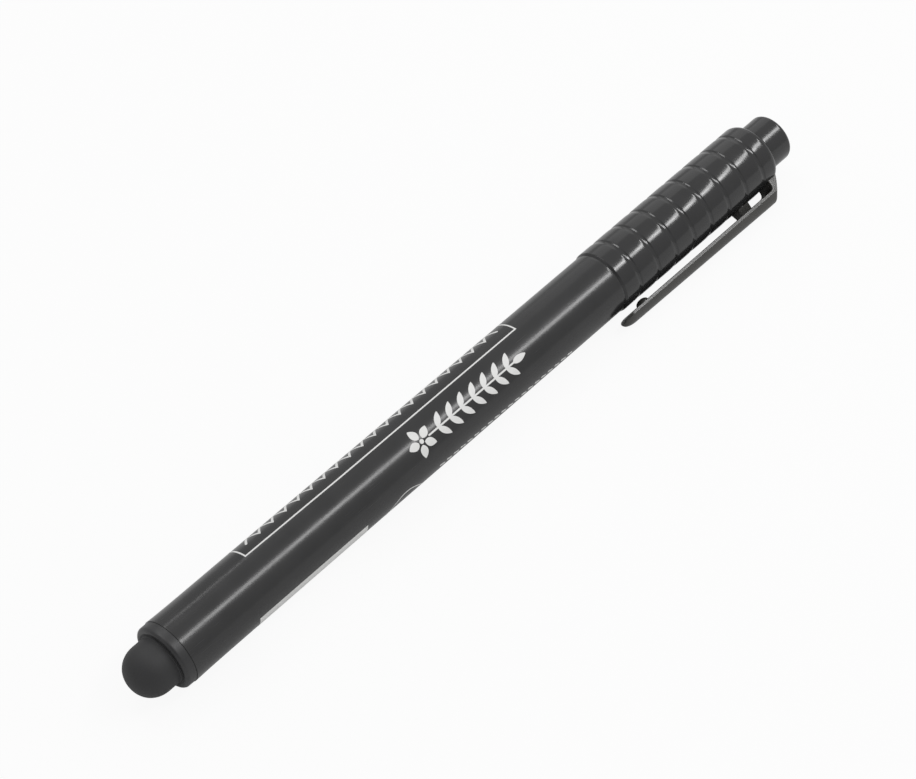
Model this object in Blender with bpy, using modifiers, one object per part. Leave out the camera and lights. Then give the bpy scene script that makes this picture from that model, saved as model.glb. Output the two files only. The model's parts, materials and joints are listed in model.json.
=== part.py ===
"""Capped fabric marker, lying on its side with the pocket clip resting on the table.

Sizes are in metres. The marker is modelled upright, with +Z running along its axis from
the dome end to the cap, and the empty called marker lays it down along world +X.
Stations on the barrel count from its rear end, stations on the cap count from its mouth.
"""

import math

import bmesh
import bpy
from mathutils import Matrix, Vector

# Clearances and facets
FIT_CLEARANCE = 0.0003
FACETS = 32
ARC_STEPS = 5
MERGE_DISTANCE = 0.00001
SHARP_ANGLE = math.radians(35)

# Barrel
BARREL_DIAMETER = 0.0105
BARREL_LENGTH = 0.0917
BARREL_WALL = 0.00135
BARREL_EDGE = 0.0002

# End plug, whose collar shows behind the barrel, and the rubber dome on its stem
COLLAR_STEP = 0.0001
COLLAR_LENGTH = 0.00165
COLLAR_CHAMFER = 0.0007
COLLAR_RIM = 0.0008
PLUG_SPIGOT_LENGTH = 0.006
DOME_SOCKET_DEPTH = 0.0009
DOME_STRAIGHT = 0.00185
DOME_STEM_DIAMETER = 0.0044
DOME_STEM_LENGTH = 0.003

# Ink reservoir and its film sleeve
FILM_WALL = 0.00025

# Nib and nib holder
HOLDER_SEAT = 0.0004
HOLDER_SPIGOT_LENGTH = 0.008
SECTION_LENGTH = 0.0095
NOSE_LENGTH = 0.0055
NOSE_TAPER = 0.0025
NOSE_TIP_WALL = 0.0006
NIB_DIAMETER = 0.0026
NIB_EXPOSED = 0.0045
NIB_TIP_LENGTH = 0.0022
NIB_TAIL = 0.007

# Cap shell
CAP_WALL = 0.00089
CAP_LENGTH = 0.0375
CROWN_THICKNESS = 0.0042
SHOULDER_HEIGHT = 0.0025
SHOULDER_INSET = 0.00124
MOUTH_EDGE = 0.00015
GROOVE_COUNT = 8
FIRST_GROOVE = 0.0036
LAST_BAND = 0.00116
GROOVE_WIDTH = 0.0009
GROOVE_DEPTH = 0.00035
BAND_CROWN = 0.0001

# Inner cap
LINER_WALL = 0.0011
LINER_END = 0.0012
NIB_CHAMBER = 0.0055

# Cap plug
CROWN_LAND = 0.0003
PLUG_HEIGHT = 0.00435
PLUG_ROUND = 0.00035
PLUG_STEM_DIAMETER = 0.005

# Clip
CLIP_WIDTH = 0.0042
CLIP_GAP = 0.00104
CLIP_THICKNESS = 0.0018
CLIP_SIDE = 0.00055
CLIP_TIP_TAPER = 0.0003
CLIP_OVERHANG = 0.00168
CLIP_LEAD_IN = 0.0022
NUB_STATION = 0.00345
NUB_LENGTH = 0.0026
NUB_HEIGHT = 0.00068
POST_SETBACK = 0.00935
POST_THICKNESS = 0.001
ARM_SEAT_DEPTH = 0.00325
ARM_TOE = 0.00045
ARM_TOE_DROP = 0.00065
ARM_FILLET = 0.0009
BEND_SETBACK = 0.0039
TONGUE_LENGTH = 0.00095

# Colours: linear RGB, roughness
GLOSS_BLACK = ((0.045, 0.045, 0.047), 0.25)
CAP_BLACK = ((0.045, 0.045, 0.047), 0.3)
CLIP_GREY = ((0.06, 0.058, 0.055), 0.35)
COLLAR_BLACK = ((0.045, 0.045, 0.047), 0.4)
RUBBER_BLACK = ((0.05, 0.05, 0.052), 0.75)
FELT_BLACK = ((0.02, 0.02, 0.022), 0.9)
FIBRE_WHITE = ((0.6, 0.6, 0.58), 0.9)
FILM_CLEAR = ((0.75, 0.77, 0.8), 0.2)
HOLDER_BLACK = ((0.04, 0.04, 0.042), 0.45)
LINER_WHITE = ((0.7, 0.7, 0.68), 0.5)

# Sizes that follow from the driving ones
BARREL_RADIUS = BARREL_DIAMETER / 2
BARREL_BORE = BARREL_RADIUS - BARREL_WALL
SPIGOT_RADIUS = BARREL_BORE - FIT_CLEARANCE
COLLAR_RADIUS = BARREL_RADIUS - COLLAR_STEP
SOCKET_RADIUS = COLLAR_RADIUS - COLLAR_RIM
DOME_RADIUS = SOCKET_RADIUS - FIT_CLEARANCE
DOME_STEM_RADIUS = DOME_STEM_DIAMETER / 2
COLLAR_FACE = -FIT_CLEARANCE - COLLAR_LENGTH
SOCKET_FLOOR = COLLAR_FACE + DOME_SOCKET_DEPTH
DOME_STEM_END = COLLAR_FACE - DOME_STEM_LENGTH
FILM_BORE = SPIGOT_RADIUS - FILM_WALL
RESERVOIR_RADIUS = FILM_BORE - FIT_CLEARANCE
NIB_RADIUS = NIB_DIAMETER / 2
NIB_BORE = NIB_RADIUS + FIT_CLEARANCE
SECTION_RADIUS = BARREL_BORE + HOLDER_SEAT
CAP_BORE = SECTION_RADIUS + FIT_CLEARANCE
CAP_RADIUS = CAP_BORE + CAP_WALL
CROWN_RADIUS = CAP_RADIUS - SHOULDER_INSET
CAP_PLUG_RADIUS = CROWN_RADIUS - CROWN_LAND
PLUG_STEM_RADIUS = PLUG_STEM_DIAMETER / 2
CROWN_HOLE = PLUG_STEM_RADIUS + FIT_CLEARANCE
LINER_RADIUS = CAP_BORE - FIT_CLEARANCE
LINER_BORE = LINER_RADIUS - LINER_WALL
NOSE_RADIUS = LINER_BORE - FIT_CLEARANCE
NOSE_TIP_RADIUS = NIB_BORE + NOSE_TIP_WALL

# Stations along the marker, from the barrel's rear end
CAP_MOUTH = BARREL_LENGTH + FIT_CLEARANCE
HOLDER_END = CAP_MOUTH - HOLDER_SPIGOT_LENGTH
NOSE_ROOT = CAP_MOUTH + SECTION_LENGTH
NOSE_END = NOSE_ROOT + NOSE_LENGTH + NOSE_TAPER
NIB_TIP = NOSE_END + NIB_EXPOSED
RESERVOIR_REAR = PLUG_SPIGOT_LENGTH + FIT_CLEARANCE
RESERVOIR_FRONT = HOLDER_END - FIT_CLEARANCE
NIB_END = RESERVOIR_FRONT - NIB_TAIL

# Stations along the cap, from its mouth
LINER_MOUTH = SECTION_LENGTH + FIT_CLEARANCE
LINER_CEILING = NIB_TIP - CAP_MOUTH + NIB_CHAMBER
LINER_TOP = LINER_CEILING + LINER_END
PLUG_FOOT = CAP_LENGTH + FIT_CLEARANCE
PLUG_TOP = PLUG_FOOT + PLUG_HEIGHT

# Clip sizes in its own plane
CLIP_INNER = CAP_RADIUS + CLIP_GAP
CLIP_OUTER = CLIP_INNER + CLIP_THICKNESS
ARM_SEAT = CAP_LENGTH - ARM_SEAT_DEPTH
HINGE_RADIUS = CAP_PLUG_RADIUS + FIT_CLEARANCE
HINGE_STATION = (ARM_SEAT + CAP_LENGTH) / 2
TONGUE_END = HINGE_RADIUS - TONGUE_LENGTH

# The cap's flat underside and the clip's outer edge touch the same table
CAP_FLAT = CAP_RADIUS * math.cos(math.pi / FACETS)
CLIP_EDGE = CLIP_INNER + CLIP_SIDE
CLIP_REACH = math.hypot(CLIP_EDGE, CLIP_WIDTH / 2)
CLIP_DROP = math.asin(CAP_FLAT / CLIP_REACH) - math.atan2(CLIP_WIDTH / 2, CLIP_EDGE)
CLIP_ROLL = CLIP_DROP - math.pi / 2

# How the clip's outlines stand: +X is radial, +Y is across the clip, +Z is along the marker
SIDE_VIEW = Matrix.Rotation(math.pi / 2, 4, "X")
PLAN_VIEW = Matrix(((0, 0, 1, 0), (1, 0, 0, 0), (0, 1, 0, 0), (0, 0, 0, 1)))
END_VIEW = Matrix.Identity(4)


def arc(centre, radii, start, end, steps=ARC_STEPS):
    """Points of an elliptical arc about centre, with both ends included."""
    points = []
    for step in range(steps + 1):
        angle = start + (end - start) * step / steps
        points.append((centre[0] + radii[0] * math.cos(angle), centre[1] + radii[1] * math.sin(angle)))
    return points


def clear_scene():
    """Remove every object that is there at the start."""
    for obj in list(bpy.data.objects):
        bpy.data.objects.remove(obj, do_unlink=True)


def make_collection(name):
    """Add a collection to the scene."""
    collection = bpy.data.collections.new(name)
    bpy.context.scene.collection.children.link(collection)
    return collection


def make_material(name, finish):
    """Plain plastic, rubber or fibre of one colour and roughness."""
    colour, roughness = finish
    material = bpy.data.materials.new(name)
    material.use_nodes = True
    shader = material.node_tree.nodes["Principled BSDF"]
    shader.inputs["Base Color"].default_value = (*colour, 1.0)
    shader.inputs["Roughness"].default_value = roughness
    shader.inputs["Metallic"].default_value = 0.0
    return material


def make_empty(name, collection, parent=None):
    """Add an empty that carries other objects."""
    empty = bpy.data.objects.new(name, None)
    empty.empty_display_size = BARREL_RADIUS
    empty.parent = parent
    collection.objects.link(empty)
    return empty


def turned(name, profile, finish, collection, parent, station=0.0, closed=True):
    """Turn a profile of (radius, height) points about +Z into a solid of FACETS flats.

    The profile runs down the outer side. A closed one makes a tube, and an open one
    starts and ends on the axis. Half a facet of turn puts a flat at the underside.
    """
    count = len(profile)
    edges = [(i, (i + 1) % count) for i in range(count if closed else count - 1)]
    outline = bpy.data.meshes.new(name + "_profile")
    outline.from_pydata([(radius, 0.0, height) for radius, height in profile], edges, [])
    obj = bpy.data.objects.new(name, outline)
    collection.objects.link(obj)
    screw = obj.modifiers.new("Turn", "SCREW")
    screw.axis = "Z"
    screw.steps = FACETS
    screw.render_steps = FACETS
    screw.use_merge_vertices = True
    screw.merge_threshold = MERGE_DISTANCE
    shape = obj.evaluated_get(bpy.context.evaluated_depsgraph_get())
    mesh = bpy.data.meshes.new_from_object(shape)
    mesh.name = name
    obj.modifiers.clear()
    obj.data = mesh
    bpy.data.meshes.remove(outline)
    mesh.shade_smooth()
    mesh.set_sharp_from_angle(angle=SHARP_ANGLE)
    mesh.materials.clear()
    mesh.materials.append(make_material(name, finish))
    obj.parent = parent
    obj.location.z = station
    obj.rotation_euler.z = math.pi / FACETS
    return obj


def barrel_profile():
    """Plain tube with broken outer edges."""
    return [
        (BARREL_RADIUS - BARREL_EDGE, BARREL_LENGTH),
        (BARREL_RADIUS, BARREL_LENGTH - BARREL_EDGE),
        (BARREL_RADIUS, BARREL_EDGE),
        (BARREL_RADIUS - BARREL_EDGE, 0.0),
        (BARREL_BORE, 0.0),
        (BARREL_BORE, BARREL_LENGTH),
    ]


def end_plug_profile():
    """Spigot in the barrel, collar behind it, and the stem in the dome's socket."""
    return [
        (0.0, PLUG_SPIGOT_LENGTH),
        (SPIGOT_RADIUS, PLUG_SPIGOT_LENGTH),
        (SPIGOT_RADIUS, -FIT_CLEARANCE),
        (COLLAR_RADIUS, -FIT_CLEARANCE),
        (COLLAR_RADIUS, COLLAR_FACE + COLLAR_CHAMFER),
        (COLLAR_RADIUS - COLLAR_CHAMFER, COLLAR_FACE),
        (SOCKET_RADIUS, COLLAR_FACE),
        (SOCKET_RADIUS, SOCKET_FLOOR),
        (DOME_STEM_RADIUS, SOCKET_FLOOR),
        (DOME_STEM_RADIUS, DOME_STEM_END),
        (0.0, DOME_STEM_END),
    ]


def dome_profile():
    """Round-ended rubber dome with a blind bore for the stem."""
    centre = COLLAR_FACE - DOME_STRAIGHT
    bore = DOME_STEM_RADIUS + FIT_CLEARANCE
    base = SOCKET_FLOOR - FIT_CLEARANCE
    bore_end = DOME_STEM_END - FIT_CLEARANCE
    round_end = arc((0.0, centre), (DOME_RADIUS, DOME_RADIUS), 0.0, -math.pi / 2, 2 * ARC_STEPS)
    return [(0.0, bore_end), (bore, bore_end), (bore, base), (DOME_RADIUS, base)] + round_end


def nib_holder_profile():
    """Spigot in the barrel, section under the cap, and a tapered nose round the nib."""
    return [
        (NOSE_TIP_RADIUS, NOSE_END),
        (NOSE_RADIUS, NOSE_END - NOSE_TAPER),
        (NOSE_RADIUS, NOSE_ROOT),
        (SECTION_RADIUS, NOSE_ROOT),
        (SECTION_RADIUS, CAP_MOUTH),
        (SPIGOT_RADIUS, CAP_MOUTH),
        (SPIGOT_RADIUS, HOLDER_END),
        (NIB_BORE, HOLDER_END),
        (NIB_BORE, NOSE_END),
    ]


def nib_profile():
    """Fibre rod with a bullet tip, long enough to reach into the reservoir."""
    shoulder = NIB_TIP - NIB_TIP_LENGTH
    bullet = arc((0.0, shoulder), (NIB_RADIUS, NIB_TIP_LENGTH), math.pi / 2, 0.0)
    return bullet + [(NIB_RADIUS, NIB_END), (0.0, NIB_END)]


def reservoir_profile():
    """Fibre core with a blind bore for the nib's tail."""
    bore_end = NIB_END - FIT_CLEARANCE
    return [
        (0.0, bore_end),
        (NIB_BORE, bore_end),
        (NIB_BORE, RESERVOIR_FRONT),
        (RESERVOIR_RADIUS, RESERVOIR_FRONT),
        (RESERVOIR_RADIUS, RESERVOIR_REAR),
        (0.0, RESERVOIR_REAR),
    ]


def film_profile():
    """Thin open sleeve as long as the reservoir."""
    return [
        (SPIGOT_RADIUS, RESERVOIR_FRONT),
        (SPIGOT_RADIUS, RESERVOIR_REAR),
        (FILM_BORE, RESERVOIR_REAR),
        (FILM_BORE, RESERVOIR_FRONT),
    ]


def band_and_groove_points():
    """Outer side of the ribbed length, from the shoulder down to the mouth."""
    top = CAP_LENGTH - SHOULDER_HEIGHT
    last = top - LAST_BAND
    pitch = (last - FIRST_GROOVE) / (GROOVE_COUNT - 1)
    half = GROOVE_WIDTH / 2
    points = []
    for index in reversed(range(GROOVE_COUNT)):
        groove = FIRST_GROOVE + index * pitch
        points.append((CAP_RADIUS - BAND_CROWN, groove + half))
        points.append((CAP_RADIUS - GROOVE_DEPTH, groove))
        points.append((CAP_RADIUS - BAND_CROWN, groove - half))
        if index > 0:
            points.append((CAP_RADIUS, groove - pitch / 2))
    points.append((CAP_RADIUS, FIRST_GROOVE / 2))
    return points


def cap_shell_profile():
    """Ribbed cap with a rounded shoulder, a plain bore and a hole in the crown."""
    top = CAP_LENGTH - SHOULDER_HEIGHT
    shoulder = arc((CROWN_RADIUS, top), (SHOULDER_INSET, SHOULDER_HEIGHT), math.pi / 2, 0.0)
    ceiling = CAP_LENGTH - CROWN_THICKNESS
    mouth = [
        (CAP_RADIUS - BAND_CROWN, MOUTH_EDGE),
        (CAP_RADIUS - BAND_CROWN - MOUTH_EDGE, 0.0),
        (CAP_BORE, 0.0),
    ]
    inside = [(CAP_BORE, ceiling), (CROWN_HOLE, ceiling), (CROWN_HOLE, CAP_LENGTH)]
    return shoulder + band_and_groove_points() + mouth + inside


def cap_plug_profile():
    """Round-edged head on the crown, and a stem that reaches the inner cap."""
    rim = arc(
        (CAP_PLUG_RADIUS - PLUG_ROUND, PLUG_TOP - PLUG_ROUND), (PLUG_ROUND, PLUG_ROUND), math.pi / 2, 0.0, 3
    )
    stem_end = LINER_TOP + FIT_CLEARANCE
    foot = [
        (CAP_PLUG_RADIUS, PLUG_FOOT),
        (PLUG_STEM_RADIUS, PLUG_FOOT),
        (PLUG_STEM_RADIUS, stem_end),
        (0.0, stem_end),
    ]
    return [(0.0, PLUG_TOP)] + rim + foot


def inner_cap_profile():
    """Thimble that opens towards the mouth and closes round the nib holder's nose."""
    return [
        (0.0, LINER_TOP),
        (LINER_RADIUS, LINER_TOP),
        (LINER_RADIUS, LINER_MOUTH),
        (LINER_BORE, LINER_MOUTH),
        (LINER_BORE, LINER_CEILING),
        (0.0, LINER_CEILING),
    ]


def clip_side_view():
    """Side view of the clip as (radius, station) points, from the tongue round by the tip."""
    tip_outer = CLIP_OUTER - CLIP_TIP_TAPER
    tip_half = (tip_outer - CLIP_INNER) / 2
    lead_end = CLIP_LEAD_IN - CLIP_OVERHANG
    post_low = CAP_LENGTH - POST_SETBACK - POST_THICKNESS / 2
    post_high = post_low + POST_THICKNESS
    foot = CAP_RADIUS + FIT_CLEARANCE
    tip = arc((CLIP_INNER + tip_half, lead_end), (tip_half, CLIP_LEAD_IN), 2 * math.pi, math.pi)
    fillet = arc(
        (CLIP_INNER - ARM_FILLET, ARM_SEAT - ARM_FILLET), (ARM_FILLET, ARM_FILLET), 0.0, math.pi / 2, 3
    )
    root = [
        (TONGUE_END, ARM_SEAT),
        (TONGUE_END, CAP_LENGTH),
        (HINGE_RADIUS, CAP_LENGTH),
        (HINGE_RADIUS + ARM_TOE, CAP_LENGTH - ARM_TOE_DROP),
        (CLIP_OUTER, CAP_LENGTH - BEND_SETBACK),
    ]
    post = [(CLIP_INNER, post_low), (foot, post_low), (foot, post_high), (CLIP_INNER, post_high)]
    return root + tip + post + fillet


def clip_plan():
    """View onto the clip as (across, station) points: parallel sides and a round tip."""
    half = CLIP_WIDTH / 2
    beyond = CAP_LENGTH + CLIP_WIDTH
    round_tip = arc((0.0, half - CLIP_OVERHANG), (half, half), math.pi, 2 * math.pi, 2 * ARC_STEPS)
    return [(half, beyond), (-half, beyond)] + round_tip


def clip_section():
    """Section of the crowned bar as (radius, across) points, wider than the clip itself."""
    half = CLIP_WIDTH / 2
    rise = CLIP_OUTER - CLIP_EDGE
    bow = (half * half + rise * rise) / (2 * rise)
    spread = math.asin(half / bow)
    crown = arc((CLIP_OUTER - bow, 0.0), (bow, bow), -spread, spread, 2 * ARC_STEPS)
    wide = CLIP_WIDTH
    return [(-CLIP_OUTER, -wide), (CLIP_EDGE, -wide)] + crown + [(CLIP_EDGE, wide), (-CLIP_OUTER, wide)]


def plate(name, outline, origin, thickness, view, collection):
    """Mesh of a flat outline, measured from origin, drawn in the given view."""
    curve = bpy.data.curves.new(name, "CURVE")
    curve.dimensions = "2D"
    curve.fill_mode = "BOTH"
    curve.extrude = thickness / 2
    spline = curve.splines.new("POLY")
    spline.points.add(len(outline) - 1)
    for point, (first, second) in zip(spline.points, outline):
        point.co = (first - origin[0], second - origin[1], 0.0, 1.0)
    spline.use_cyclic_u = True
    drawing = bpy.data.objects.new(name + "_outline", curve)
    collection.objects.link(drawing)
    shape = drawing.evaluated_get(bpy.context.evaluated_depsgraph_get())
    mesh = bpy.data.meshes.new_from_object(shape)
    bpy.data.objects.remove(drawing)
    solid = bmesh.new()
    solid.from_mesh(mesh)
    bmesh.ops.remove_doubles(solid, verts=solid.verts, dist=MERGE_DISTANCE)
    bmesh.ops.recalc_face_normals(solid, faces=solid.faces)
    solid.to_mesh(mesh)
    solid.free()
    mesh.transform(view)
    obj = bpy.data.objects.new(name, mesh)
    collection.objects.link(obj)
    return obj


def combine(obj, tool, operation):
    """Cut, trim or join an object with a guide that isn't itself a piece."""
    tool.hide_render = True
    tool.display_type = "WIRE"
    step = obj.modifiers.new(tool.name, "BOOLEAN")
    step.operation = operation
    step.object = tool


def make_nub(collection):
    """Low round button on the bar's inner face, which grips the cloth of a pocket."""
    solid = bmesh.new()
    bmesh.ops.create_uvsphere(solid, u_segments=FACETS // 2, v_segments=FACETS // 4, radius=1.0)
    size = (NUB_HEIGHT, NUB_LENGTH / 2, NUB_LENGTH / 2)
    bmesh.ops.scale(solid, verts=solid.verts, vec=size)
    place = (CLIP_INNER - HINGE_RADIUS, 0.0, NUB_STATION - HINGE_STATION)
    bmesh.ops.translate(solid, verts=solid.verts, vec=place)
    mesh = bpy.data.meshes.new("clip_nub")
    solid.to_mesh(mesh)
    solid.free()
    nub = bpy.data.objects.new("clip_nub", mesh)
    collection.objects.link(nub)
    return nub


def make_clip(pieces, cutters, parent):
    """Clip from its side view, plan and section, with its origin on the hinge axis."""
    hinge = (HINGE_RADIUS, HINGE_STATION)
    clip = plate("clip", clip_side_view(), hinge, 2 * CLIP_WIDTH, SIDE_VIEW, pieces)
    plan = plate("clip_plan", clip_plan(), (0.0, HINGE_STATION), 4 * CLIP_OUTER, PLAN_VIEW, cutters)
    section = plate("clip_section", clip_section(), (HINGE_RADIUS, 0.0), 4 * CAP_LENGTH, END_VIEW, cutters)
    nub = make_nub(cutters)
    for obj in (clip, plan, section, nub):
        obj.parent = parent
    combine(clip, plan, "INTERSECT")
    combine(clip, section, "INTERSECT")
    combine(clip, nub, "UNION")
    clip.data.materials.append(make_material("clip", CLIP_GREY))
    return clip


def cut_clip_seat(cap_shell, collection, parent):
    """Cut the notch in the shoulder and crown that the clip's root lies in."""
    depth = 2 * (CAP_RADIUS - TONGUE_END)
    height = ARM_SEAT_DEPTH + 2 * FIT_CLEARANCE
    inner = TONGUE_END - FIT_CLEARANCE
    low = ARM_SEAT - FIT_CLEARANCE
    outline = [(inner, low), (inner + depth, low), (inner + depth, low + height), (inner, low + height)]
    hinge = (HINGE_RADIUS, HINGE_STATION)
    width = CLIP_WIDTH + 2 * FIT_CLEARANCE
    cutter = plate("clip_seat", outline, hinge, width, SIDE_VIEW, collection)
    cutter.parent = parent
    combine(cap_shell, cutter, "DIFFERENCE")


def world_box(objects):
    """Lowest and highest corners of the finished pieces in world space."""
    depsgraph = bpy.context.evaluated_depsgraph_get()
    corners = []
    for obj in objects:
        shape = obj.evaluated_get(depsgraph)
        mesh = shape.to_mesh()
        corners.extend(shape.matrix_world @ vertex.co for vertex in mesh.vertices)
        shape.to_mesh_clear()
    low = Vector(min(corner[axis] for corner in corners) for axis in range(3))
    high = Vector(max(corner[axis] for corner in corners) for axis in range(3))
    return low, high


def rest_on_table(marker, objects):
    """Put the world origin under the middle of the marker, on the table."""
    bpy.context.view_layer.update()
    low, high = world_box(objects)
    middle = (low + high) / 2
    marker.location -= Vector((middle.x, middle.y, low.z))
    bpy.context.view_layer.update()


def build():
    """Make every piece, lay the marker down and set it on the table."""
    clear_scene()
    pieces = make_collection("fabric_marker")
    cutters = make_collection("cutters")
    marker = make_empty("marker", pieces)
    marker.rotation_euler.y = math.pi / 2
    cap = make_empty("cap", pieces, marker)
    cap.location.z = CAP_MOUTH
    clip_root = make_empty("clip_root", pieces, cap)
    clip_root.rotation_euler.z = CLIP_ROLL
    clip_root.location = (
        HINGE_RADIUS * math.cos(CLIP_ROLL), HINGE_RADIUS * math.sin(CLIP_ROLL), HINGE_STATION
    )

    turned("barrel", barrel_profile(), GLOSS_BLACK, pieces, marker)
    turned("end_plug", end_plug_profile(), COLLAR_BLACK, pieces, marker, closed=False)
    turned("rubber_dome", dome_profile(), RUBBER_BLACK, pieces, marker, closed=False)
    turned("ink_reservoir", reservoir_profile(), FIBRE_WHITE, pieces, marker, closed=False)
    turned("reservoir_film", film_profile(), FILM_CLEAR, pieces, marker)
    turned("nib_holder", nib_holder_profile(), HOLDER_BLACK, pieces, marker)
    turned("nib", nib_profile(), FELT_BLACK, pieces, marker, closed=False)
    turned("inner_cap", inner_cap_profile(), LINER_WHITE, pieces, cap, closed=False)
    turned("cap_plug", cap_plug_profile(), CAP_BLACK, pieces, cap, closed=False)
    cap_shell = turned("cap_shell", cap_shell_profile(), CAP_BLACK, pieces, cap)
    make_clip(pieces, cutters, clip_root)
    cut_clip_seat(cap_shell, cutters, clip_root)

    rest_on_table(marker, [obj for obj in pieces.objects if obj.type != "EMPTY"])


build()
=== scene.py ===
"""Studio scene of a capped fabric marker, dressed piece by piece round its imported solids.

Sizes are in millimetres and become metres where a mesh is made. A station is a distance
along the marker from the cap's mouth, positive towards the cap plug. An angle round the
marker is zero at the top and grows towards the side that the pocket clip is on.
"""

import json
import logging
import math
from collections.abc import Iterable, Sequence
from dataclasses import dataclass
from enum import Enum
from functools import cache

import bmesh
import bpy
from mathutils import Matrix, Vector

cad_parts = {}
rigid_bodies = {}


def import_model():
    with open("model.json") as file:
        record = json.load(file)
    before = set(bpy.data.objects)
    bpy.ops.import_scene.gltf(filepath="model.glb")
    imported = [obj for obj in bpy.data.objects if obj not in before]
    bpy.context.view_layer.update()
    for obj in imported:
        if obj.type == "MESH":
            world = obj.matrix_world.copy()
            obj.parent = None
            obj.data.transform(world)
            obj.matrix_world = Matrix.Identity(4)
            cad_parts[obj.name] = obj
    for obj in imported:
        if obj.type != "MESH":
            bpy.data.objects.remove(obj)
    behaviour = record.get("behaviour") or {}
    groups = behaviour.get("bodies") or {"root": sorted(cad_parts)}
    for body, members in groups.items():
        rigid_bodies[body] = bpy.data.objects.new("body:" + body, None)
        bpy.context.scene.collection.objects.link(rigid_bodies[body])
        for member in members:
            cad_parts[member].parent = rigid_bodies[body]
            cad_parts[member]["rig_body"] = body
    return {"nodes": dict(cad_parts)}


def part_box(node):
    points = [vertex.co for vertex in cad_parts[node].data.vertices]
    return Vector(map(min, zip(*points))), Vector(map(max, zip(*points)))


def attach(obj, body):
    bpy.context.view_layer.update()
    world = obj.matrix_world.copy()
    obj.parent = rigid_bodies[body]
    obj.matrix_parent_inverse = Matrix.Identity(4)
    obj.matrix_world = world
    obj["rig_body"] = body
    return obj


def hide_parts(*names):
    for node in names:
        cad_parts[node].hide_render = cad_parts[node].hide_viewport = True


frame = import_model()

log = logging.getLogger("fabric_marker")

MM = 0.001

# Edges of a piece that turn more than this stay sharp, in degrees.
SHARP_TURN = 38.0
# Longest step along a rounding, in degrees.
ARC_STEP = 10.0
# Share of a straight side that the rounding at one of its ends may take up.
SIDE_SHARE = 0.49
# Radius in millimetres below which a ring is a single point on the axis.
ON_AXIS = 0.001
WHITE = (1.0, 1.0, 1.0, 1.0)

Piece = bpy.types.Object
Shape = bmesh.types.BMesh
Point = tuple[float, float]
Triple = tuple[float, float, float]
Colour = Triple
# Half of a printed stroke's width, all along it or point by point.
Widths = float | list[float]


class Stroke(Enum):
    """How a printed stroke ends."""

    ROUND = "round ends"
    BUTT = "square ends"
    LOOP = "runs back to its start"


# Shader expressions


class Field:
    """A value that varies over a surface: one socket, open to Python's operators."""

    def __init__(self, graph: "Graph", socket: bpy.types.NodeSocket) -> None:
        """Keep the socket and the graph that it belongs to."""
        self.graph = graph
        self.socket = socket

    def __add__(self, other: "Field | float") -> "Field":
        """Sum of two values."""
        return self.graph.math("ADD", self, other)

    def __sub__(self, other: "Field | float") -> "Field":
        """Difference of two values."""
        return self.graph.math("SUBTRACT", self, other)

    def __rsub__(self, other: float) -> "Field":
        """Difference of a number and this value."""
        return self.graph.math("SUBTRACT", other, self)

    def __mul__(self, other: "Field | float") -> "Field":
        """Product of two values."""
        return self.graph.math("MULTIPLY", self, other)

    __radd__ = __add__
    __rmul__ = __mul__

    def above(self, low: float, high: float) -> "Field":
        """Soft step: 0 below low, 1 over high."""
        return self.graph.math("MULTIPLY", self - low, 1.0 / (high - low), clamp=True)


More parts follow.
